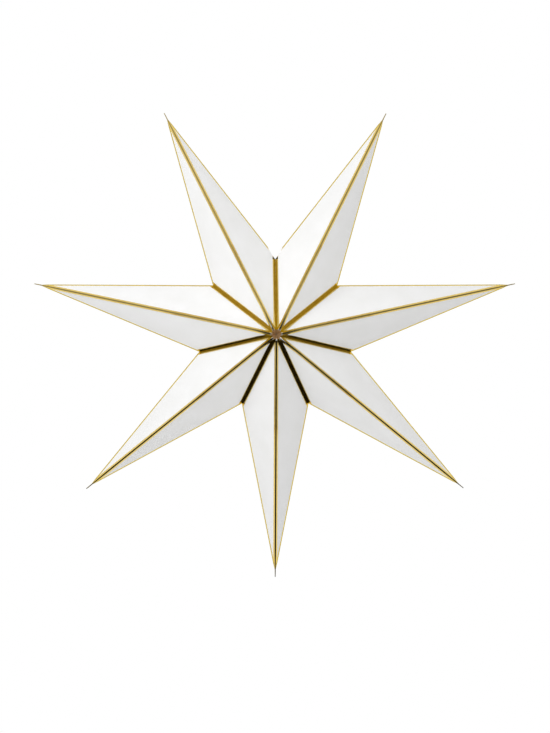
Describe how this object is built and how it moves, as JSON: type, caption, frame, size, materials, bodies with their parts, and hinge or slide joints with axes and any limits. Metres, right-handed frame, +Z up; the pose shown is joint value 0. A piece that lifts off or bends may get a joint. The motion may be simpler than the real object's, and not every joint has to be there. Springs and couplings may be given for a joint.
{
  "type": "paper star lampshade",
  "caption": "Hanging star lampshade of creased card, glued along its ridges and valleys, with gold foil along every fold and an opening for the cord at the top seam.",
  "frame": {"origin": "centre of the star, on its axis and midway between front and back", "axes": "+X to the right as seen from the front, +Y from front to back, +Z up to the seam with the cord opening"},
  "size_m": [0.7, 0.1856, 0.676],
  "materials": {
    "white_card": "matt white card with bands of gold foil along every fold",
    "clear_tape": "translucent double-sided tape"
  },
  "bodies": {
    "root": {"point_1_right_sheet": "white_card", "point_1_left_sheet": "white_card", "point_2_right_sheet": "white_card", "point_2_left_sheet": "white_card", "point_3_right_sheet": "white_card", "point_3_left_sheet": "white_card", "point_4_right_sheet": "white_card", "point_4_left_sheet": "white_card", "point_5_right_sheet": "white_card", "point_5_left_sheet": "white_card", "point_6_right_sheet": "white_card", "point_6_left_sheet": "white_card", "point_7_right_sheet": "white_card", "point_7_left_sheet": "white_card", "front_seam_tape": "clear_tape", "back_seam_tape": "clear_tape"}
  },
  "joints": []
}
